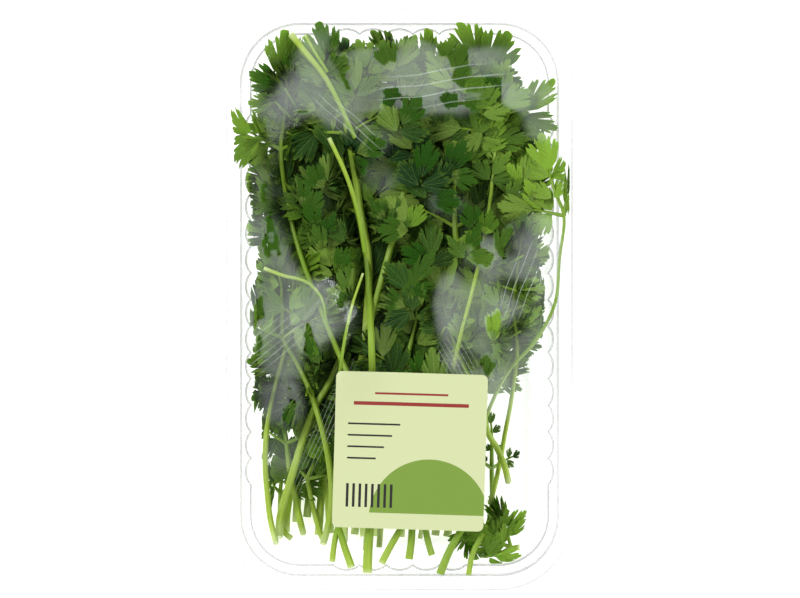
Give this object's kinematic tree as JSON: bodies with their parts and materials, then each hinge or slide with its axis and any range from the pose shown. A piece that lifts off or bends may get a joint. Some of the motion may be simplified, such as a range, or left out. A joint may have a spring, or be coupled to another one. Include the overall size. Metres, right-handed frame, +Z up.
{
  "type": "parsley bunch",
  "caption": "Flat-leaf parsley bunch: cut fronds laid lengthways in a clear fluted tray, wrapped in clear stretch film with a plain printed label.",
  "frame": {"origin": "middle of the pack's underside, in the plane it rests on", "axes": "+Y along the pack from the cut ends of the stalks to the leaf tips, +X to the right as seen from above with the leaf tips away, +Z up out of the tray"},
  "size_m": [0.1354, 0.2254, 0.0506],
  "materials": {
    "clear_tray": "clear thermoformed sheet, glossy",
    "stretch_film": "clear stretch film, glossy, finely wrinkled",
    "label_paper": "semi-gloss printed paper",
    "parsley": "fresh leaf, matt with a slight sheen, pale green stalks"
  },
  "bodies": {
    "root": {"tray": "clear_tray", "film": "stretch_film", "label": "label_paper", "frond_01": "parsley", "frond_02": "parsley", "frond_03": "parsley", "frond_04": "parsley", "frond_05": "parsley", "frond_06": "parsley", "frond_07": "parsley", "frond_08": "parsley", "frond_09": "parsley", "frond_10": "parsley", "frond_11": "parsley", "frond_12": "parsley", "frond_13": "parsley", "frond_14": "parsley", "frond_15": "parsley", "frond_16": "parsley", "frond_17": "parsley", "frond_18": "parsley", "frond_19": "parsley", "frond_20": "parsley", "frond_21": "parsley", "frond_22": "parsley", "frond_23": "parsley", "frond_24": "parsley", "frond_25": "parsley", "frond_26": "parsley", "frond_27": "parsley", "frond_28": "parsley", "frond_29": "parsley", "frond_30": "parsley", "frond_31": "parsley", "frond_32": "parsley", "frond_33": "parsley", "frond_34": "parsley", "loose_frond": "parsley"}
  },
  "joints": []
}
